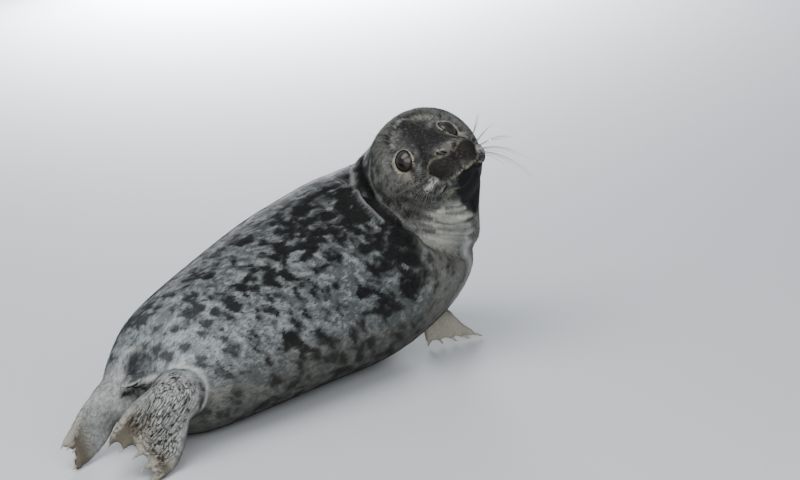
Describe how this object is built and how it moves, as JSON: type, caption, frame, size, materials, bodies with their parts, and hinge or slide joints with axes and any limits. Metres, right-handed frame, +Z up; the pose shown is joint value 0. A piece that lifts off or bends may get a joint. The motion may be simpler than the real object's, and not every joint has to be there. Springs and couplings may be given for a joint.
{
  "type": "grey seal",
  "caption": "Young grey seal lying on its belly with chest raised, looking back over its right shoulder, hind flippers trailing.",
  "frame": {"origin": "on the floor under the middle of the whole seal's box", "axes": "+X forward along the trunk, +Y to the seal's left, +Z up"},
  "size_m": [1.0178, 0.4408, 0.4374],
  "materials": {
    "coat": "short flat fur, silver grey with dark blotches",
    "bare_skin": "short-haired flipper skin, matte",
    "eye_gloss": "wet gloss",
    "claw_horn": "satin horn"
  },
  "bodies": {
    "root": {"head": "coat", "neck": "coat", "chest": "coat", "trunk_front": "coat", "trunk_rear": "coat", "rump": "coat", "tail": "coat", "flipper_fore_right": "bare_skin", "flipper_fore_left": "bare_skin", "flipper_hind_right": "bare_skin", "flipper_hind_left": "bare_skin", "eye_left": "eye_gloss", "eye_right": "eye_gloss", "claw_fore_left_1": "claw_horn", "claw_fore_left_2": "claw_horn", "claw_fore_left_3": "claw_horn", "claw_fore_left_4": "claw_horn", "claw_fore_left_5": "claw_horn", "claw_fore_right_1": "claw_horn", "claw_fore_right_2": "claw_horn", "claw_fore_right_3": "claw_horn", "claw_fore_right_4": "claw_horn", "claw_fore_right_5": "claw_horn", "claw_hind_left_1": "claw_horn", "claw_hind_left_2": "claw_horn", "claw_hind_left_3": "claw_horn", "claw_hind_left_4": "claw_horn", "claw_hind_left_5": "claw_horn", "claw_hind_right_1": "claw_horn", "claw_hind_right_2": "claw_horn", "claw_hind_right_3": "claw_horn", "claw_hind_right_4": "claw_horn", "claw_hind_right_5": "claw_horn"}
  },
  "joints": []
}
